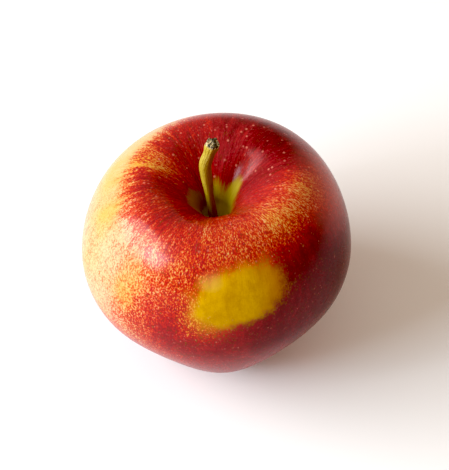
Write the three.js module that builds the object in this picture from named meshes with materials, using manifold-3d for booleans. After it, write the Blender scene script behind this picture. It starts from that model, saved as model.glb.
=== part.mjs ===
// An apple as picked: the fruit, the stem that stands in its cavity, and in the basin
// underneath the dried calyx, which is five sepals round a tuft of old stamens.
//
// Millimetres, +Z up. The fruit rests on small flat spots on its five lobes, at z = 0, and
// the origin is under the middle of its outline. -Y is the front. Azimuths are in degrees
// about +Z, counted from +X.

import * as THREE from "three";
import { mergeVertices } from "three/addons/utils/BufferGeometryUtils.js";
import Module from "manifold-3d";

const wasm = await Module();
wasm.setup();

const { cos, sin, PI } = Math;
const { degToRad, smoothstep } = THREE.MathUtils;

// ---------------------------------------------------------------- driving dimensions

// Half of the fruit's section, from the basin's floor out round the side and in to the
// cavity's floor. Each knot has its radius, height and half-handle: the Bezier handle that
// leaves it is at (radius + dr, height + dz), and the one that arrives is opposite.
const SECTION = [
  { r: 0, z: 9.2, dr: 1.6, dz: 0 }, // basin floor
  { r: 7.2, z: 6.6, dr: 2.2, dz: -1.6 }, // basin wall
  { r: 15.8, z: 0.3, dr: 3.2, dz: 0 }, // ring that the lobes stand on
  { r: 30.5, z: 12.4, dr: 3.9, dz: 6.1 }, // lower flank
  { r: 38.8, z: 36, dr: 0, dz: 8.4 }, // girth
  { r: 31.6, z: 57.6, dr: -3.7, dz: 4.5 }, // shoulder
  { r: 20.4, z: 64.7, dr: -3.8, dz: 0 }, // crest
  { r: 11, z: 60, dr: -2.5, dz: -2.2 }, // cavity slope
  { r: 5.5, z: 53.2, dr: -1, dz: -1.9 }, // throat's lip
  { r: 4, z: 48.9, dr: -0.2, dz: -1.8 }, // throat
  { r: 0, z: 45.2, dr: -1.8, dz: 0 }, // cavity floor
];
const SECTION_STEPS = 4; // straight steps in each Bezier stretch
const AROUND = 64; // columns round the fruit

// Where the section turns from the standing ring to the girth, and from the girth to the
// crest. The axis stays plain inside AXIS_RADIUS.
const BOTTOM_ENDS = 34;
const TOP_STARTS = 34;
const TOP_ENDS = 60;
const AXIS_RADIUS = 14;

// Five lobes, one to the front, and the fruit's own unevenness. A share is of the radius.
const LOBES = 5;
const LOBE_AZIMUTH = -84;
const LOBE_SHARE = { bottom: 0.034, middle: 0.01, top: 0.003 };
const LOBE_DROP = 0.65; // how far the lobes' feet hang below the ring between them
const OVAL = { share: 0.006, azimuth: 19 };
const THREE_SIDED = { share: 0.006, azimuth: -26 };
const CREST_RISE = { height: 2.9, azimuth: -42, atRadius: 30 };

// Shallow folds that run up the cavity's slope, deepest at the middle radius.
const FOLD = { depth: 0.4, azimuth: 34, radius: 11, reach: 8 };

// The stem's centreline, from inside the throat to its broken end, and its half-widths by
// distance along it.
const STEM_PATH = [
  [-0.5, -0.1, 45.9],
  [-1, 0.7, 49.5],
  [-1.8, 2.1, 55],
  [-2.5, 3.5, 60.2],
  [-2.9, 4.6, 64.8],
  [-1.8, 5.5, 68.6],
  [-0.7, 6.4, 72.2],
];
const STEM_HALF_WIDTHS = [
  [0, 1.2],
  [0.25, 1.25],
  [0.7, 1.75],
  [0.87, 1.7],
  [0.96, 2.05],
  [1, 1.95],
];
const STEM_SIDES = 14;

// One sepal in its own upright plane: distance out from the fruit's axis, and height.
// Sepals spring from the basin's floor, close in over the stamens and turn out at the tip.
const SEPALS = 5;
const SEPAL_AZIMUTH = -48;
const SEPAL_PATH = [
  [4.4, 7.6],
  [4.2, 6.2],
  [3.3, 4.8],
  [3, 3.5],
  [4.1, 2.4],
];
const SEPAL_HALF_WIDTHS = [
  [0, 1.6],
  [0.25, 1.9],
  [0.6, 1.3],
  [0.88, 0.6],
  [1, 0.3],
];
const SEPAL_FLATNESS = 0.2; // thickness as a share of width
const SEPAL_SIDES = 10;

// The stamens' dried tuft, as one blunt plug under the basin's floor.
const TUFT = { z: 8.8, height: 3.4, root: 1.5, waist: 1.1, crown: 1.35 };

// ---------------------------------------------------------------- shared shape helpers

// A Bezier stretch between each two knots of the section, as points (radius, height).
function sectionPoints() {
  const path = new THREE.CurvePath();
  for (let i = 1; i < SECTION.length; i++) {
    const [a, b] = [SECTION[i - 1], SECTION[i]];
    path.add(
      new THREE.CubicBezierCurve(
        new THREE.Vector2(a.r, a.z),
        new THREE.Vector2(a.r + a.dr, a.z + a.dz),
        new THREE.Vector2(b.r - b.dr, b.z - b.dz),
        new THREE.Vector2(b.r, b.z),
      ),
    );
  }
  return path.getPoints(SECTION_STEPS);
}

// Calls move(vertex) on each vertex and keeps what it leaves there.
function shapeVertices(geometry, move) {
  const place = geometry.attributes.position;
  const vertex = new THREE.Vector3();
  for (let i = 0; i < place.count; i++) {
    move(vertex.fromBufferAttribute(place, i));
    place.setXYZ(i, vertex.x, vertex.y, vertex.z);
  }
  return geometry;
}

// Only the positions, with each shared vertex held once, so that the surface is closed.
function closed(geometry) {
  geometry.deleteAttribute("normal");
  geometry.deleteAttribute("uv");
  return mergeVertices(geometry, 1e-4);
}

function solidOf(geometry) {
  const { position } = geometry.attributes;
  return new wasm.Manifold(
    new wasm.Mesh({
      numProp: 3,
      vertProperties: new Float32Array(position.array),
      triVerts: new Uint32Array(geometry.index.array),
    }),
  );
}

function geometryOf(solid) {
  const mesh = solid.getMesh();
  return new THREE.BufferGeometry()
    .setAttribute("position", new THREE.BufferAttribute(mesh.vertProperties, 3))
    .setIndex(new THREE.BufferAttribute(mesh.triVerts, 1));
}

// A round, tapered rod bent along a curve. halfWidths lists [share of the length,
// half-width], flatness thins it across `side`, and its ends are closed.
function taperedRod({ curve, halfWidths, sides, steps, side, flatness = 1 }) {
  const outline = [new THREE.Vector2(0, 0)];
  for (let i = 0; i <= steps; i++) {
    outline.push(new THREE.Vector2(valueAlong(halfWidths, i / steps), i / steps));
  }
  outline.push(new THREE.Vector2(0, 1));
  const rod = closed(new THREE.LatheGeometry(outline, sides));
  return shapeVertices(rod, (vertex) => {
    const along = curve.getTangentAt(vertex.y);
    const across = new THREE.Vector3().crossVectors(along, side).normalize();
    const wide = new THREE.Vector3().crossVectors(along, across);
    const { x, z } = vertex;
    vertex.copy(curve.getPointAt(vertex.y));
    vertex.addScaledVector(wide, x).addScaledVector(across, z * flatness);
  });
}

// The value at a place between the listed [place, value] pairs.
function valueAlong(pairs, at) {
  const next = Math.max(1, pairs.findIndex(([place]) => place >= at));
  const [[a, from], [b, to]] = [pairs[next - 1], pairs[next]];
  return THREE.MathUtils.lerp(from, to, smoothstep(at, a, b));
}

// ---------------------------------------------------------------- the pieces

// Moves a point of the plain turned fruit to its place on the lobed, uneven one.
function unevenFruit(vertex) {
  const { x, y, z } = vertex;
  const radius = Math.hypot(x, y);
  const azimuth = Math.atan2(y, x);
  const wave = (count, phase) => cos(count * (azimuth - degToRad(phase)));

  const bottom = 1 - smoothstep(z, 0, BOTTOM_ENDS);
  const top = smoothstep(z, TOP_STARTS, TOP_ENDS);
  const middle = 1 - bottom - top;
  const lobe = wave(LOBES, LOBE_AZIMUTH);
  const lobeShare =
    LOBE_SHARE.bottom * bottom + LOBE_SHARE.middle * middle + LOBE_SHARE.top * top;
  const swell =
    1 +
    lobeShare * lobe +
    OVAL.share * wave(2, OVAL.azimuth) +
    THREE_SIDED.share * wave(3, THREE_SIDED.azimuth);

  const offAxis = smoothstep(radius, 0, AXIS_RADIUS);
  const drop = LOBE_DROP * bottom * lobe;
  const rise =
    CREST_RISE.height * top * wave(1, CREST_RISE.azimuth) * (radius / CREST_RISE.atRadius);
  const onSlope = Math.max(0, 1 - ((radius - FOLD.radius) / FOLD.reach) ** 2);
  const fold = FOLD.depth * top * onSlope * onSlope * wave(LOBES, FOLD.azimuth);
  vertex.set(x * swell, y * swell, z + offAxis * (rise - drop) - fold);
}

// The fruit, with what its lobes' feet hold below the table cut away flat.
function fruitGeometry() {
  const turned = new THREE.LatheGeometry(sectionPoints(), AROUND).rotateX(PI / 2);
  const lobed = closed(shapeVertices(turned, unevenFruit));
  const table = new THREE.BoxGeometry(100, 100, 10).translate(0, 0, -5);
  return geometryOf(solidOf(lobed).subtract(solidOf(closed(table))));
}

function stemGeometry() {
  const points = STEM_PATH.map((point) => new THREE.Vector3(...point));
  return taperedRod({
    curve: new THREE.CatmullRomCurve3(points),
    halfWidths: STEM_HALF_WIDTHS,
    sides: STEM_SIDES,
    steps: 26,
    side: new THREE.Vector3(1, 0, 0),
  });
}

// A sepal in the plane that holds the fruit's axis and its own azimuth.
function sepalGeometry(azimuth) {
  const out = new THREE.Vector3(cos(azimuth), sin(azimuth), 0);
  const points = SEPAL_PATH.map(([distance, height]) =>
    out.clone().multiplyScalar(distance).setZ(height),
  );
  return taperedRod({
    curve: new THREE.CatmullRomCurve3(points),
    halfWidths: SEPAL_HALF_WIDTHS,
    sides: SEPAL_SIDES,
    steps: 12,
    side: new THREE.Vector3(-sin(azimuth), cos(azimuth), 0),
    flatness: SEPAL_FLATNESS,
  });
}

function tuftGeometry() {
  const { z, height, root, waist, crown } = TUFT;
  const outline = [
    [0, z - height],
    [crown, z - height],
    [waist, z - height / 2],
    [root, z],
    [0, z],
  ].map(([radius, level]) => new THREE.Vector2(radius, level));
  return new THREE.LatheGeometry(outline, 16).rotateX(PI / 2);
}

// ---------------------------------------------------------------- the assembly

const skin = new THREE.MeshStandardMaterial({ color: "#a81f1c", roughness: 0.35 });
const stemWood = new THREE.MeshStandardMaterial({ color: "#8a7426", roughness: 0.7 });
const driedSepal = new THREE.MeshStandardMaterial({ color: "#6f5c3f", roughness: 0.9 });
const driedStamen = new THREE.MeshStandardMaterial({ color: "#3d2a1b", roughness: 0.9 });

const apple = new THREE.Group();

function add(name, geometry, material) {
  const piece = new THREE.Mesh(geometry, material);
  piece.name = name;
  apple.add(piece);
}

add("fruit", fruitGeometry(), skin);
add("stem", stemGeometry(), stemWood);
for (let i = 0; i < SEPALS; i++) {
  const azimuth = degToRad(SEPAL_AZIMUTH + (360 / SEPALS) * i);
  add(`sepal_${i + 1}`, sepalGeometry(azimuth), driedSepal);
}
add("stamen_tuft", tuftGeometry(), driedStamen);

// The origin goes under the middle of the outline.
const centre = new THREE.Box3().setFromObject(apple).getCenter(new THREE.Vector3());
apple.position.set(-centre.x, -centre.y, 0);

export default apple;
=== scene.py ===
import math
import random

import bmesh
import bpy
from mathutils import Matrix, Vector, noise
from mathutils.geometry import interpolate_bezier


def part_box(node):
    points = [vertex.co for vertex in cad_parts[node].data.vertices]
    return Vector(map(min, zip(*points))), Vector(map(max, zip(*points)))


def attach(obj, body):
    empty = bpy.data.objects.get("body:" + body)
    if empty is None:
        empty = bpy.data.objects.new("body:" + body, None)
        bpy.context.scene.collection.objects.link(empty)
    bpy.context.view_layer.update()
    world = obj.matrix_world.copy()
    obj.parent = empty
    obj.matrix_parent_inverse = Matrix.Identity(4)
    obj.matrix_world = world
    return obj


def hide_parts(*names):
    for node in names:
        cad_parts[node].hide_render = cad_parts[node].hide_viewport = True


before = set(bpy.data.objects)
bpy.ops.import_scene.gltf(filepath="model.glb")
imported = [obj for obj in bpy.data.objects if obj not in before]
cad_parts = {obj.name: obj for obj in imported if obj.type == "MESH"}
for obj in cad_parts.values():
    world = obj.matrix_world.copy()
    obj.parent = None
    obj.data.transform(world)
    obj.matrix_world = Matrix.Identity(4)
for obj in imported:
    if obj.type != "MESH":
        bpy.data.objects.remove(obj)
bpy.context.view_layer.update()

# An apple, resting on a pale table. Shapes are worked out in millimetres round the fruit's
# own axis, and are put in the frame, in metres, as each piece is finished. Azimuths and
# latitudes are in degrees: azimuth about +Z from +X, with the front at -90, and latitude
# about the fruit's middle, with 90 at the stem and -90 at the calyx.

MM = 0.001


def middle_of(node):
    low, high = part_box(node)
    return (Vector(low) + Vector(high)) / 2


# The fruit's axis, which the stamens stand on.
AXIS = middle_of("stamen_tuft") * Vector((1, 1, 0))

# ------------------------------------------------------------------ driving dimensions

# Half of the fruit's section, from the basin's floor out round the side and in to the
# cavity's floor: radius, height, and the half-handle's radius and height.
SECTION = [
    (0, 9.2, 1.6, 0),  # basin floor
    (7.2, 6.6, 2.2, -1.6),  # basin wall
    (15.8, 0.3, 3.2, 0),  # ring that the lobes stand on
    (30.5, 12.4, 3.9, 6.1),  # lower flank
    (38.8, 36, 0, 8.4),  # girth
    (31.6, 57.6, -3.7, 4.5),  # shoulder
    (20.4, 64.7, -3.8, 0),  # crest
    (11, 60, -2.5, -2.2),  # cavity slope
    (5.5, 53.2, -1, -1.9),  # throat's lip
    (4, 48.9, -0.2, -1.8),  # throat
    (0, 45.2, -1.8, 0),  # cavity floor
]
SECTION_STEPS = 18
AROUND = 280
MIDDLE_HEIGHT = 34

# Heights between which the bottom's lobes give way to the top's, and the radius within
# which neither the crest's rise nor the lobes' drop is whole.
BOTTOM_ENDS = 34
TOP_STARTS = 34
TOP_ENDS = 60
AXIS_RADIUS = 14

LOBES = 5
LOBE_AZIMUTH = -84
LOBE_SHARE_BOTTOM = 0.034
LOBE_SHARE_MIDDLE = 0.01
LOBE_SHARE_TOP = 0.003
LOBE_DROP = 0.65
OVAL_SHARE, OVAL_AZIMUTH = 0.006, 19
THREE_SIDED_SHARE, THREE_SIDED_AZIMUTH = 0.006, -26
CREST_RISE, CREST_AZIMUTH, CREST_RADIUS = 2.9, -42, 30
FOLD_DEPTH, FOLD_AZIMUTH, FOLD_RADIUS, FOLD_REACH = 0.4, 34, 11, 8

STEM_PATH = [
    (-0.5, -0.1, 44.9),
    (-1, 0.7, 49.5),
    (-1.8, 2.1, 55),
    (-2.5, 3.5, 60.2),
    (-2.9, 4.6, 64.8),
    (-1.8, 5.5, 68.6),
    (-0.7, 6.4, 72.2),
]
# The stem's half-width by share of its length: it swells at the foot and at the knob.
STEM_WIDTHS = [
    (0, 1.75),
    (0.05, 1.3),
    (0.3, 1.22),
    (0.7, 1.72),
    (0.87, 1.62),
    (0.95, 2.02),
    (1, 1.9),
]
STEM_RIBS, STEM_RIB_DEPTH, STEM_WANDER = 5, 0.045, 0.14
# The broken end rises at its rim and sinks in steps, each this far inside the last.
BROKEN_STEPS, BROKEN_STEP_WIDTH = (0.1, -0.35, -0.5), 0.45

SEPALS = 5
SEPAL_AZIMUTH = -48
SEPAL_PATH = [(4.6, 8.2), (4.2, 6.2), (3.3, 4.8), (3, 3.5), (4.1, 2.4)]
SEPAL_WIDTHS = [(0, 1.6), (0.25, 1.9), (0.6, 1.3), (0.88, 0.55), (1, 0.12)]
SEPAL_FLATNESS = 0.16

STAMENS = 20
STAMEN_SEED = 7
STAMEN_RING_INSIDE, STAMEN_RING_WIDTH = 0.5, 0.9
STAMEN_FOOT, STAMEN_BEND = 9.1, 7.6
STAMEN_TIPS = (4.6, 6.2)
STAMEN_LEAN = 0.5
STAMEN_WIDTHS = [(0, 0.16), (0.8, 0.11), (0.9, 0.26), (1, 0.08)]

# ------------------------------------------------------------------ curves and formulas


def smooth(value, low, high):
    share = min(1, max(0, (value - low) / (high - low)))
    return share * share * (3 - 2 * share)


def between(pairs, at):
    """The value at a place between the listed (place, value) pairs, eased."""
    for (a, start), (b, end) in zip(pairs, pairs[1:]):
        if at <= b:
            return start + (end - start) * smooth(at, a, b)
    return pairs[-1][1]


def curve_through(places, count):
    """Evenly spaced points on one smooth curve through the places."""
    places = [Vector(place) for place in places]
    ends = [places[0]] + places + [places[-1]]
    fine = []
    for before, start, end, after in zip(ends, places, places[1:], ends[3:]):
        leave = start + (end - before) / 6
        arrive = end - (after - start) / 6
        fine += interpolate_bezier(start, leave, arrive, end, 24)[:-1]
    fine.append(places[-1])
    lengths = [0]
    for a, b in zip(fine, fine[1:]):
        lengths.append(lengths[-1] + (b - a).length)
    points = []
    i = 0
    for step in range(count):
        goal = lengths[-1] * step / (count - 1)
        while i < len(fine) - 2 and lengths[i + 1] < goal:
            i += 1
        share = (goal - lengths[i]) / (lengths[i + 1] - lengths[i])
        points.append(fine[i].lerp(fine[i + 1], share))
    return points


def uneven_fruit(place):
    """Moves a point of the plain turned fruit to its place on the lobed one."""
    radius = math.hypot(place.x, place.y)
    azimuth = math.atan2(place.y, place.x)

    def wave(count, phase):
        return math.cos(count * (azimuth - math.radians(phase)))

    bottom = 1 - smooth(place.z, 0, BOTTOM_ENDS)
    top = smooth(place.z, TOP_STARTS, TOP_ENDS)
    middle = 1 - bottom - top
    lobe = wave(LOBES, LOBE_AZIMUTH)
    share = LOBE_SHARE_BOTTOM * bottom + LOBE_SHARE_MIDDLE * middle + LOBE_SHARE_TOP * top
    swell = (
        1
        + share * lobe
        + OVAL_SHARE * wave(2, OVAL_AZIMUTH)
        + THREE_SIDED_SHARE * wave(3, THREE_SIDED_AZIMUTH)
    )
    off_axis = smooth(radius, 0, AXIS_RADIUS)
    rise = CREST_RISE * top * wave(1, CREST_AZIMUTH) * radius / CREST_RADIUS
    drop = LOBE_DROP * bottom * lobe
    on_slope = max(0, 1 - ((radius - FOLD_RADIUS) / FOLD_REACH) ** 2)
    fold = FOLD_DEPTH * top * on_slope**2 * wave(LOBES, FOLD_AZIMUTH)
    return Vector((place.x * swell, place.y * swell, place.z + off_axis * (rise - drop) - fold))


# ------------------------------------------------------------------ making and finishing


def finish_piece(name, bm, material, nodes):
    """Puts a shape worked out in millimetres into the frame as a named piece."""
    bmesh.ops.recalc_face_normals(bm, faces=bm.faces)
    bmesh.ops.transform(bm, matrix=Matrix.Translation(AXIS) @ Matrix.Scale(MM, 4), verts=bm.verts)
    mesh = bpy.data.meshes.new(name)
    bm.to_mesh(mesh)
    bm.free()
    mesh.shade_smooth()
    mesh.materials.append(material)
    piece = bpy.data.objects.new(name, mesh)
    bpy.context.scene.collection.objects.link(piece)
    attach(piece, "root")
    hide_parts(*nodes)


def rod(bm, path, widths, side, sides, steps, flatness=1.0, ridge=None):
    """A closed rod along a path: one ring, extruded from station to station.

    The layer "grain" keeps each vertex's place round the ring, as cosine and sine, and its
    share of the length. ridge(turn, share) scales the ring's width. The foot is closed here,
    and the edges round the open end are handed back.
    """
    grain = bm.verts.layers.float_vector.get("grain") or bm.verts.layers.float_vector.new("grain")
    points = curve_through(path, steps)
    ring = bmesh.ops.create_circle(bm, cap_ends=False, radius=1, segments=sides)["verts"]
    for vert in ring:
        vert[grain] = (vert.co.x, vert.co.y, 0)
    edges = list({edge for vert in ring for edge in vert.link_edges})
    first_edges = edges
    last_frame = Matrix.Identity(4)
    for i, point in enumerate(points):
        share = i / (steps - 1)
        along = (points[min(i + 1, steps - 1)] - points[max(i - 1, 0)]).normalized()
        across = along.cross(side).normalized()
        wide = along.cross(across)
        width = between(widths, share)
        turn = Matrix((wide, across, along)).transposed().to_4x4()
        station = Matrix.Translation(point) @ turn
        station = station @ Matrix.Diagonal((width, width * flatness, 1, 1))
        if i:
            made = bmesh.ops.extrude_edge_only(bm, edges=edges)["geom"]
            ring = [item for item in made if isinstance(item, bmesh.types.BMVert)]
            around = [item for item in made if isinstance(item, bmesh.types.BMEdge)]
            edges = [edge for edge in around if all(vert in ring for vert in edge.verts)]
        bmesh.ops.transform(bm, matrix=station @ last_frame.inverted(), verts=ring)
        for vert in ring:
            vert[grain].z = share
        last_frame = station
    bmesh.ops.edgeloop_fill(bm, edges=first_edges)
    if ridge:
        for vert in bm.verts:
            x, y, share = vert[grain]
            i = min(steps - 1, round(share * (steps - 1)))
            vert.co = points[i].lerp(vert.co, ridge(math.atan2(y, x), share))
    return edges


# ------------------------------------------------------------------ material expressions


class Value:
    """A socket of a material that takes part in plain sums."""

    def __init__(self, paint, socket):
        self.paint = paint
        self.socket = socket

    def __add__(self, other):
        return self.paint.math("ADD", self, other)

    def __radd__(self, other):
        return self.paint.math("ADD", other, self)

    def __sub__(self, other):
        return self.paint.math("SUBTRACT", self, other)

    def __rsub__(self, other):
        return self.paint.math("SUBTRACT", other, self)

    def __mul__(self, other):
        return self.paint.math("MULTIPLY", self, other)

    def __rmul__(self, other):
        return self.paint.math("MULTIPLY", other, self)

    def __truediv__(self, other):
        return self.paint.math("DIVIDE", self, other)

    def __pow__(self, power):
        return self.paint.math("POWER", self, power)

    def smooth(self, low, high):
        """0 at low, 1 at high, and eased between them."""
        limits = {"From Min": low, "From Max": high}
        return self.paint.node(
            "ShaderNodeMapRange", {"interpolation_type": "SMOOTHSTEP"}, {"Value": self, **limits}
        )


class Paint:
    """One material, built from expressions on Values."""

    def __init__(self, name):
        self.material = bpy.data.materials.new(name)
        self.material.use_nodes = True
        self.tree = self.material.node_tree
        self.tree.nodes.clear()

    def node(self, kind, settings=None, inputs=None, output=0):
        """Any node: settings first, then the values or links of its sockets."""
        node = self.tree.nodes.new(kind)
        for name, setting in (settings or {}).items():
            if name == "stops":
                self.set_stops(node.color_ramp, setting)
            else:
                setattr(node, name, setting)
        for name, value in (inputs or {}).items():
            if isinstance(value, Value):
                self.tree.links.new(value.socket, node.inputs[name])
            else:
                node.inputs[name].default_value = value
        return Value(self, node.outputs[output]) if node.outputs else node

    def set_stops(self, ramp, stops):
        while len(ramp.elements) < len(stops):
            ramp.elements.new(1)
        for element, (place, colour) in zip(ramp.elements, stops):
            element.position = place
            element.color = colour

    def math(self, operation, *values):
        return self.node("ShaderNodeMath", {"operation": operation}, dict(enumerate(values)))

    def vector(self, x, y, z):
        return self.node("ShaderNodeCombineXYZ", inputs={0: x, 1: y, 2: z})

    def parts(self, vector):
        split = self.node("ShaderNodeSeparateXYZ", inputs={0: vector}).socket.node
        return [Value(self, socket) for socket in split.outputs]

    def mix(self, factor, a, b):
        """From colour a, at a factor of 0, to colour b, at 1."""
        settings = {"data_type": "RGBA"}
        return self.node("ShaderNodeMix", settings, {0: factor, 6: a, 7: b}, output=2)

    def noise(self, place, size, detail=2.0, roughness=0.5):
        """Cloudy noise about 0, mostly within -1 and 1, with lumps of about the size."""
        inputs = {"Vector": place, "Scale": 1 / size, "Detail": detail, "Roughness": roughness}
        cloud = self.node("ShaderNodeTexNoise", inputs=inputs)
        return (cloud - 0.5) * 4

    def dots(self, place, pitch, inside, outside):
        """1 in dots scattered about a pitch apart, fading between the two radii."""
        cells = self.node("ShaderNodeTexVoronoi", inputs={"Vector": place, "Scale": 1 / pitch})
        return 1 - (cells * pitch).smooth(inside, outside)

    def surface(self, inputs):
        shader = self.node("ShaderNodeBsdfPrincipled", inputs=inputs)
        self.node("ShaderNodeOutputMaterial", inputs={"Surface": shader})
        return self.material

    def bump(self, height):
        """A normal that follows small heights in millimetres."""
        inputs = {"Height": height, "Distance": MM, "Strength": 1.0}
        return self.node("ShaderNodeBump", inputs=inputs)


def rgb(red, green, blue):
    """A colour given as 0 to 255 on the screen's scale."""

    def linear(value):
        share = value / 255
        return share / 12.92 if share <= 0.04045 else ((share + 0.055) / 1.055) ** 2.4

    return (linear(red), linear(green), linear(blue), 1.0)


# ------------------------------------------------------------------ the skin

# Marks on the skin are ovals: azimuth, latitude, half-width and half-height, how soft the
# edge is, and how much the mark adds.

# Changes of the red that covers the cream.
RED_MARKS = [
    (-112, 22, 20, 40, 0.6, -0.14),  # the front, orange-red
    (-110, 12, 18, 13, 0.8, 0.26),
    (-84, 2, 34, 10, 0.8, 0.06),
    (-68, 53, 46, 13, 0.7, -0.26),  # over the front shoulder
    (-97, 19, 9, 10, 0.9, -0.34),  # left of the bare patch's foot
    (-44, 16, 30, 34, 0.45, 0.27),  # the right side, maroon
    (-6, 8, 34, 32, 0.5, 0.2),
    (-10, 53, 15, 8, 0.9, -0.3),  # flecks of orange on the right shoulder
    (-40, 54.5, 16, 8, 0.9, -0.28),
    # Lighter on the upper right rim: partly its orange, partly a painted sheen.
    (0, 38, 18, 12, 0.9, -0.22),
    (60, 60, 60, 12, 0.5, 0.17),  # behind the cavity, deepest
    (36, 58, 14, 4.5, 0.8, 0.16),
    (40, 49, 24, 7, 0.8, 0.12),
    # Lighter red on the cavity's far slope, where it takes the window's highlight: a painted
    # highlight.
    (40, 65.5, 16, 4, 0.8, -0.22),
    # Lighter behind the cavity, towards the left: painted light.
    (100, 60, 20, 8, 0.9, -0.1),
    (157, 58, 10, 6, 0.9, -0.44),  # left of the cavity, broken by orange
    (-157, 60, 14, 6, 0.9, -0.14),
    (-106, 53, 12, 9, 0.8, 0.14),
    (-98, 57.5, 5, 4, 0.9, -0.2),
    (-172, 50, 13, 9, 0.8, -0.02),
    (-140, 28, 12, 24, 0.8, -0.06),  # the left side
    (138, 38, 26, 14, 0.8, -0.2),
]

# Gold in the cream, where it is not washed pink.
GOLDEN_MARKS = [
    (-161, 19, 9, 9, 0.8, 0.25),
    (-166, 36, 7, 6, 0.8, 0.5),
    (-133, 24, 6, 13, 0.8, 0.5),
    (-96, 24, 9, 14, 0.8, 0.6),
    (-76, 28, 36, 34, 0.8, 0.6),
    (-40, 54, 12, 7, 0.8, 0.6),
    (-10, 53, 14, 6, 0.8, 0.6),
    (156, 40, 34, 15, 0.8, 0.6),
    (158, 56, 12, 7, 0.8, 0.6),
]

# Where the cavity's green reaches further out, in degrees of latitude.
GREEN_MARKS = [
    (62, 72, 54, 9, 0.25, 1.3),
    (37, 72, 13, 9, 0.7, 4.2),
    (93, 72, 11, 9, 0.7, 1.6),
    (184, 72, 42, 9, 0.8, 5),
]

# Where the cavity's slope has less of the waxy coat.
COAT_MARKS = [
    (34, 58.5, 26, 5.5, 0.6, -0.3),
    (62, 66, 12, 5, 0.6, -0.16),
]

# The skin's colour by its cover of red.
SKIN_SHADES = [
    (-0.2, rgb(202, 178, 144)),
    (0.12, rgb(196, 162, 118)),
    (0.3, rgb(188, 122, 92)),
    (0.45, rgb(188, 84, 46)),
    (0.6, rgb(184, 50, 28)),
    (0.76, rgb(170, 32, 26)),
    (0.98, rgb(138, 27, 31)),
    (1.2, rgb(104, 7, 18)),
    (1.42, rgb(78, 1, 12)),
]
BAREST, DEEPEST = -0.2, 1.5

GOLD = rgb(204, 152, 36)
MUSTARD, SHADED_MUSTARD, RED_MUSTARD = rgb(196, 152, 4), rgb(172, 126, 2), rgb(172, 92, 2)
BRUISE = rgb(208, 174, 96)
PALE_PORE, DARK_PORE, LARGE_PORE = rgb(222, 146, 116), rgb(176, 86, 78), rgb(216, 128, 106)
# The second colour here is a pale pink painted sheen for the right shoulder's rim.
NET, PAINTED_SHEEN = rgb(190, 96, 92), rgb(212, 140, 128)
OLIVE, SHADED_OLIVE, RUSSET = rgb(172, 154, 50), rgb(144, 106, 42), rgb(150, 110, 36)
# The first of these is a pale colour painted into the throat as light against its shade.
THROAT, BASIN = rgb(196, 176, 96), rgb(178, 162, 78)

GIRTH = 38
PORE_PITCH, DUST_PITCH, LARGE_PORE_PITCH = 2.1, 0.95, 2.5
COAT_WEIGHT, COAT_ROUGHNESS = 0.34, 0.2


class Skin(Paint):
    """The fruit's skin: places on it as Values, and the noises that its marks share."""

    def __init__(self, name):
        super().__init__(name)
        place = self.node("ShaderNodeTexCoord", output="Object")
        settings = {"operation": "MULTIPLY_ADD"}
        inputs = {0: place, 1: [1 / MM] * 3, 2: list(-AXIS / MM)}
        self.place = self.node("ShaderNodeVectorMath", settings, inputs)
        x, y, z = self.parts(self.place)
        self.height = z
        self.radius = (x * x + y * y) ** 0.5
        self.azimuth = self.math("ARCTAN2", y, x) * math.degrees(1)
        self.latitude = self.math("ARCTAN2", z - MIDDLE_HEIGHT, self.radius) * math.degrees(1)
        self.near_top = self.latitude.smooth(30, 60)

        # Millimetres round and up at the girth, which close in towards the poles, so that
        # whatever is drawn on them lengthens along the meridians there.
        self.east = x / self.radius * GIRTH
        self.north = y / self.radius * GIRTH
        self.up = self.latitude * (math.radians(1) * GIRTH)
        self.grown = self.squeezed(1)
        self.oblong = self.squeezed(0.8)

        self.wobble = self.noise(self.grown, 5, detail=3)
        self.clump = self.noise(self.oblong, 1.9, detail=2)
        self.grain = self.noise(self.oblong, 0.5, detail=1, roughness=0.7)
        # Streaks and hairlines run along the meridians.
        self.streak = self.noise(self.squeezed(0.16), 2.2, detail=3, roughness=0.6)
        self.hair = self.noise(self.squeezed(0.11), 0.5, detail=1)

    def squeezed(self, share):
        """A place to draw on, its heights cut to a share, so that marks come out longer."""
        return self.vector(self.east, self.north, self.up * share)

    def from_azimuth(self, azimuth):
        return self.math("WRAP", self.azimuth - azimuth, 180, -180)

    def patch(
        self, azimuth, latitude, half_width, half_height, soft=0.5, rough=0.12, tilt=0, power=2
    ):
        """1 inside an oval of skin, fading to 0 round its edge. A higher power squares it."""
        across = self.from_azimuth(azimuth)
        up = self.latitude - latitude
        turn = math.radians(tilt)
        long = (across * math.cos(turn) + up * math.sin(turn)) / half_width
        short = (up * math.cos(turn) - across * math.sin(turn)) / half_height
        square = self.math("ABSOLUTE", long) ** power + self.math("ABSOLUTE", short) ** power
        distance = square ** (1 / power) + self.wobble * rough
        return 1 - distance.smooth(1 - soft, 1 + soft)

    def with_marks(self, value, marks):
        """The value, with each mark's amount added inside its oval."""
        for azimuth, latitude, half_width, half_height, soft, amount in marks:
            value = value + amount * self.patch(azimuth, latitude, half_width, half_height, soft)
        return value


def red_cover(skin):
    """How much red covers the cream, from 0, bare, to about 1.2, the deepest."""
    drift = skin.wobble * 4 + skin.streak * 3
    from_left = skin.math("ABSOLUTE", skin.from_azimuth(172)) + drift
    left_side = 1 - from_left.smooth(32, 92)
    below_crest = 1 - (skin.latitude + skin.wobble * 2 + skin.streak * 3).smooth(40, 56)
    above_foot = skin.latitude.smooth(-30, 4)
    cover = skin.with_marks(0.95 - 0.78 * left_side * below_crest * above_foot, RED_MARKS)
    lined = skin.near_top * (0.5 + 0.6 * skin.patch(-175, 52, 70, 30, 0.8))
    return cover + skin.streak * (0.05 + 0.14 * lined) + skin.hair * 0.09 * lined


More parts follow.
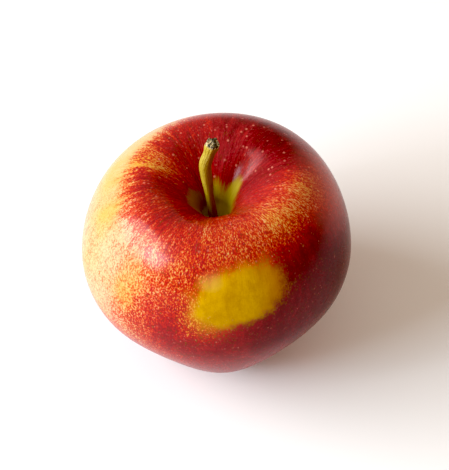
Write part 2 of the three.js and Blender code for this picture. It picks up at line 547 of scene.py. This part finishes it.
def blushed(skin, cover):
    """Cream and gold under the red, which lies over them in specks and a fine net."""
    open_skin = (1 - cover.smooth(0.7, 1.1)) * (0.3 + 0.7 * cover.smooth(0.1, 0.5))
    specks = skin.grain * (0.12 + 0.36 * open_skin) + skin.clump * (0.1 + 0.05 * skin.near_top)
    speckled = cover + specks
    reach = DEEPEST - BAREST
    stops = [((at - BAREST) / reach, shade) for at, shade in SKIN_SHADES]
    share = (speckled - BAREST) / reach
    colour = skin.node("ShaderNodeValToRGB", {"stops": stops}, {"Fac": share})

    cloudy = skin.noise(skin.grown, 9, detail=1).smooth(-0.4, 1) * 0.25
    golden = skin.with_marks(cloudy, GOLDEN_MARKS)
    pale = 1 - speckled.smooth(0.2, 0.75)
    return skin.mix(golden * pale * 0.8, colour, GOLD)


def bare_patch(skin):
    """The bare patch at the front, with a ragged foot: where it is, and its colour."""
    bare = skin.patch(-77, 31.5, 20, 11.8, soft=0.5, rough=0.16, tilt=8, power=2.3)
    bare = bare + 0.42 * skin.patch(-91, 22, 9, 9, soft=0.9)
    bare = (bare + (skin.grain * 0.26 + skin.clump * 0.16) * (1.15 - bare)).smooth(0.1, 0.95)
    mottle = skin.wobble * 0.6 + skin.clump * 0.5 + skin.grain * 0.3
    colour = skin.mix(mottle.smooth(-1, 1), MUSTARD, SHADED_MUSTARD)
    colour = skin.mix(skin.from_azimuth(-68).smooth(-6, 12) * 0.6, colour, RED_MUSTARD)
    return bare, colour


def cavity_green(skin):
    """The cavity's green, which runs out in rays: where it is, and its colour."""
    ragged = skin.streak * 0.9 + skin.hair * 0.8 + skin.grain * 0.5 + skin.clump * 0.4
    edge = skin.with_marks(skin.latitude + ragged, GREEN_MARKS)
    colour = skin.mix(skin.patch(176, 72, 60, 12, soft=0.6), OLIVE, SHADED_OLIVE)
    russet = (skin.clump * 0.5 + skin.streak * 0.5).smooth(-0.2, 1) * 0.6
    return edge.smooth(73.7, 76.8), skin.mix(russet, colour, RUSSET)


def skin_material():
    skin = Skin("apple_skin")
    cover = red_cover(skin)
    colour = blushed(skin, cover)
    bare, mustard = bare_patch(skin)
    colour = skin.mix(bare, colour, mustard)
    bruise = skin.patch(-92, 38.5, 5, 3.4, soft=0.8, rough=0.05)
    colour = skin.mix(bruise * 0.26, colour, BRUISE)

    # Fine pale pores everywhere, longer towards the cavity, and large round ones near it.
    pore = skin.dots(skin.oblong, PORE_PITCH, 0.08, 0.3)
    dust = skin.dots(skin.oblong, DUST_PITCH, 0.06, 0.22)
    faint = skin.noise(skin.oblong, 5, detail=1).smooth(-1.2, 0.8)
    small_pores = (pore * (0.35 + 0.4 * faint) + dust * 0.3) * (1 - 0.8 * bare)
    pore_colour = skin.mix(cover.smooth(0.85, 1.15), PALE_PORE, DARK_PORE)
    colour = skin.mix(small_pores, colour, pore_colour)
    large_pore = skin.dots(skin.place, LARGE_PORE_PITCH, 0.2, 0.46)
    large_pore = large_pore * (0.25 + 0.75 * skin.near_top) * (1 - bare)
    colour = skin.mix(large_pore * (0.25 + 0.4 * faint), colour, LARGE_PORE)

    # A fine net and hairlines over the top, and a pale pink painted sheen on the right shoulder's
    # rim.
    net = skin.noise(skin.place, 0.45, detail=2).smooth(0.1, 1.3) + skin.hair.smooth(0.2, 1.2) * 0.5
    colour = skin.mix((net * 0.24 + 0.045) * skin.near_top, colour, NET)
    colour = skin.mix(skin.patch(4, 40, 22, 10, soft=0.9) * 0.3, colour, PAINTED_SHEEN)

    green, olive = cavity_green(skin)
    colour = skin.mix(green, colour, olive)
    # Paler colour in the throat under the stem, lifting the shade of its depth: painted light.
    throat = (1 - skin.height.smooth(46.5, 51.5)) * (1 - skin.radius.smooth(5.5, 7))
    colour = skin.mix(throat * skin.height.smooth(30, 40) * 0.85, colour, THROAT)
    basin = 1 - (skin.latitude + skin.streak * 3).smooth(-72, -56)
    colour = skin.mix(basin * 0.7, colour, BASIN)

    relief = skin.grain * 0.004 + skin.clump * 0.013 + skin.streak * 0.018 + skin.hair * 0.004
    relief = relief - pore * 0.02 + large_pore * 0.03
    return skin.surface(
        {
            "Base Color": colour,
            "Roughness": 0.28 + skin.clump * 0.02 + green * 0.3,
            "Normal": skin.bump(relief),
            "Specular IOR Level": 0.02,
            "Coat Weight": skin.with_marks(COAT_WEIGHT, COAT_MARKS),
            "Coat Roughness": COAT_ROUGHNESS,
        }
    )


def make_fruit():
    bm = bmesh.new()
    points = []
    for (r0, z0, dr0, dz0), (r1, z1, dr1, dz1) in zip(SECTION, SECTION[1:]):
        start, leave = Vector((r0, 0, z0)), Vector((r0 + dr0, 0, z0 + dz0))
        arrive, end = Vector((r1 - dr1, 0, z1 - dz1)), Vector((r1, 0, z1))
        points += interpolate_bezier(start, leave, arrive, end, SECTION_STEPS + 1)[:-1]
    points.append(Vector((0, 0, SECTION[-1][1])))
    verts = [bm.verts.new(point) for point in points]
    edges = [bm.edges.new(pair) for pair in zip(verts, verts[1:])]
    bmesh.ops.spin(
        bm, geom=verts + edges, cent=(0, 0, 0), axis=(0, 0, 1), dvec=(0, 0, 0),
        angle=math.tau, steps=AROUND, use_merge=True,
    )
    bmesh.ops.remove_doubles(bm, verts=bm.verts, dist=0.001)
    for vert in bm.verts:
        vert.co = uneven_fruit(vert.co)
        vert.co.z = max(0, vert.co.z)
    finish_piece("apple_fruit", bm, skin_material(), ["fruit"])


# ------------------------------------------------------------------ the stem

SHADED_BARK, SUNNY_BARK = rgb(140, 98, 34), rgb(176, 152, 42)
BARK_FLECK, BARK_FOOT = rgb(96, 60, 20), rgb(110, 84, 34)
BROKEN_HOLLOW, BROKEN_FIBRE = rgb(38, 26, 14), rgb(206, 184, 132)


def stem_material():
    bark = Paint("stem_bark")
    grain = bark.node("ShaderNodeAttribute", {"attribute_name": "grain"}, output=1)
    x, y, share = bark.parts(grain)
    fibre = bark.vector(x * 4, y * 4, share * 5)
    streak = bark.noise(fibre, 1, detail=3, roughness=0.6)
    fleck = bark.noise(bark.vector(x * 4, y * 4, share * 40), 1, detail=2)
    sunny = (streak * 0.25 + x).smooth(-0.45, 0.6)
    colour = bark.mix(sunny, SHADED_BARK, SUNNY_BARK)
    colour = bark.mix((fleck + streak).smooth(0.6, 1.6) * 0.6, colour, BARK_FLECK)
    low = 1 - share.smooth(0.05, 0.35)
    colour = bark.mix(low * 0.25, colour, BARK_FOOT)
    tip = (share + fleck * 0.01).smooth(0.955, 0.975)
    broken = bark.mix(fleck.smooth(-0.4, 0.6), BROKEN_HOLLOW, BROKEN_FIBRE)
    colour = bark.mix(tip, colour, broken)
    normal = bark.bump(streak * 0.12 + fleck * 0.05)
    return bark.surface({"Base Color": colour, "Roughness": 0.6 + streak * 0.05, "Normal": normal})


def make_stem():
    bm = bmesh.new()

    def ridge(turn, share):
        wander = noise.noise(Vector((math.cos(turn) * 1.6, math.sin(turn) * 1.6, share * 5)))
        ribs = STEM_RIB_DEPTH * math.cos(STEM_RIBS * turn + 2 * share)
        return 1 + ribs + STEM_WANDER * wander

    side = Vector((1, 0, 0))
    edges = rod(bm, STEM_PATH, STEM_WIDTHS, side, sides=36, steps=90, ridge=ridge)
    end = bmesh.ops.edgeloop_fill(bm, edges=edges)["faces"]
    for depth in BROKEN_STEPS:
        bmesh.ops.inset_individual(bm, faces=end, thickness=BROKEN_STEP_WIDTH, depth=depth)
    finish_piece("apple_stem", bm, stem_material(), ["stem"])


# ------------------------------------------------------------------ the calyx

SEPAL_BROWN, SEPAL_DOWN, SEPAL_BLOTCH = rgb(124, 100, 66), rgb(190, 176, 144), rgb(84, 60, 38)
STAMEN_DARK, STAMEN_BROWN = rgb(46, 30, 18), rgb(112, 82, 50)


def sepal_material():
    leaf = Paint("dried_sepal")
    place = leaf.node("ShaderNodeTexCoord", output="Object")
    down = leaf.noise(place, 0.4 * MM, detail=3)
    blotch = leaf.noise(place, 1.6 * MM, detail=2)
    colour = leaf.mix(down.smooth(-0.6, 0.8), SEPAL_BROWN, SEPAL_DOWN)
    colour = leaf.mix(blotch.smooth(0, 1) * 0.5, colour, SEPAL_BLOTCH)
    normal = leaf.bump(down * 0.2)
    return leaf.surface({"Base Color": colour, "Roughness": 0.9, "Normal": normal})


def make_sepals():
    material = sepal_material()
    for i in range(SEPALS):
        azimuth = math.radians(SEPAL_AZIMUTH + 360 / SEPALS * i)
        out = Vector((math.cos(azimuth), math.sin(azimuth), 0))
        side = Vector((-math.sin(azimuth), math.cos(azimuth), 0))
        path = [out * distance + Vector((0, 0, height)) for distance, height in SEPAL_PATH]
        bm = bmesh.new()
        edges = rod(bm, path, SEPAL_WIDTHS, side, sides=24, steps=36, flatness=SEPAL_FLATNESS)
        bmesh.ops.edgeloop_fill(bm, edges=edges)
        finish_piece(f"apple_sepal_{i + 1}", bm, material, [f"sepal_{i + 1}"])


def stamen_material():
    dry = Paint("dried_stamen")
    place = dry.node("ShaderNodeTexCoord", output="Object")
    mottle = dry.noise(place, 0.6 * MM, detail=2)
    colour = dry.mix(mottle.smooth(-0.6, 0.8), STAMEN_DARK, STAMEN_BROWN)
    return dry.surface({"Base Color": colour, "Roughness": 0.85})


def make_stamens():
    """Thin dried threads from a ring in the basin's floor, each with a pinched tip."""
    bm = bmesh.new()
    chance = random.Random(STAMEN_SEED)
    for i in range(STAMENS):
        azimuth = math.tau * (i + 0.6 * chance.random()) / STAMENS
        out = Vector((math.cos(azimuth), math.sin(azimuth), 0))
        root = STAMEN_RING_INSIDE + STAMEN_RING_WIDTH * (i % 3) / 2
        lean = chance.uniform(-STAMEN_LEAN, STAMEN_LEAN)
        tip = chance.uniform(*STAMEN_TIPS)
        side = Vector((-math.sin(azimuth), math.cos(azimuth), 0))
        path = [
            out * root + Vector((0, 0, STAMEN_FOOT)),
            out * (root + 0.2) + Vector((0, 0, STAMEN_BEND)),
            out * (root * 0.9) + side * lean + Vector((0, 0, tip)),
        ]
        edges = rod(bm, path, STAMEN_WIDTHS, side, sides=8, steps=14)
        bmesh.ops.edgeloop_fill(bm, edges=edges)
    finish_piece("apple_stamens", bm, stamen_material(), ["stamen_tuft"])


# ------------------------------------------------------------------ table, light, camera

TABLE_RADIUS = 20
TABLE_WHITE = (0.86, 0.86, 0.86, 1)

# Both windows face the apple from the same distance. Each has an azimuth and elevation, a
# width and height, a power and a colour.
WINDOW_DISTANCE = 1.5
WINDOW_TARGET = (0, 0, 0.03)
WINDOWS = {
    "wide_window": (179, 32, 0.95, 1.0, 28.5, (0.9, 0.955, 1.0)),
    "small_window": (206, 29, 0.46, 0.46, 14.5, (0.76, 0.88, 1.0)),
}
ROOM_COLOUR, ROOM_STRENGTH = (1.0, 0.81, 0.65, 1), 0.63

CAMERA_ELEVATION = 54
CAMERA_DISTANCE = 0.45
CAMERA_TARGET = Vector((0, 0, 0.033))
LENS = 117.5
SENSOR_WIDTH = 36
LENS_SHIFT = (0.017, 0.0223)

BLACK_LEVEL = 0.021


def toward(azimuth, elevation):
    """The direction of length 1 towards a place in the sky, in degrees."""
    around, up = math.radians(azimuth), math.radians(elevation)
    return Vector((math.cos(around) * math.cos(up), math.sin(around) * math.cos(up), math.sin(up)))


def make_table():
    bm = bmesh.new()
    bmesh.ops.create_circle(bm, cap_ends=True, radius=TABLE_RADIUS, segments=96)
    mesh = bpy.data.meshes.new("table")
    bm.to_mesh(mesh)
    bm.free()
    paper = Paint("table_white")
    mesh.materials.append(paper.surface({"Base Color": TABLE_WHITE, "Roughness": 0.7}))
    table = bpy.data.objects.new("table", mesh)
    bpy.context.scene.collection.objects.link(table)


def look_at(place, target):
    turn = (Vector(target) - Vector(place)).to_track_quat("-Z", "Y").to_matrix().to_4x4()
    return Matrix.Translation(place) @ turn


def make_light():
    for name, (azimuth, elevation, width, height, power, colour) in WINDOWS.items():
        window = bpy.data.lights.new(name, "AREA")
        window.shape = "RECTANGLE"
        window.size, window.size_y = width, height
        window.energy = power
        window.color = colour
        lamp = bpy.data.objects.new(name, window)
        lamp.matrix_world = look_at(toward(azimuth, elevation) * WINDOW_DISTANCE, WINDOW_TARGET)
        bpy.context.scene.collection.objects.link(lamp)

    world = bpy.data.worlds.new("studio")
    world.use_nodes = True
    back = world.node_tree.nodes["Background"]
    back.inputs["Color"].default_value = ROOM_COLOUR
    back.inputs["Strength"].default_value = ROOM_STRENGTH
    bpy.context.scene.world = world


def make_camera():
    lens = bpy.data.cameras.new("camera")
    lens.lens = LENS
    lens.sensor_width = SENSOR_WIDTH
    lens.shift_x, lens.shift_y = LENS_SHIFT
    camera = bpy.data.objects.new("camera", lens)
    place = CAMERA_TARGET + toward(-90, CAMERA_ELEVATION) * CAMERA_DISTANCE
    camera.matrix_world = look_at(place, CAMERA_TARGET)
    bpy.context.scene.collection.objects.link(camera)
    bpy.context.scene.camera = camera


def settle_tones():
    """Plain tones, with the last of the haze taken out of the darks."""
    view = bpy.context.scene.view_settings
    view.view_transform = "Standard"
    view.use_curve_mapping = True
    view.curve_mapping.black_level = (BLACK_LEVEL, BLACK_LEVEL, BLACK_LEVEL)
    view.curve_mapping.update()


make_fruit()
make_stem()
make_sepals()
make_stamens()
make_table()
make_light()
make_camera()
settle_tones()
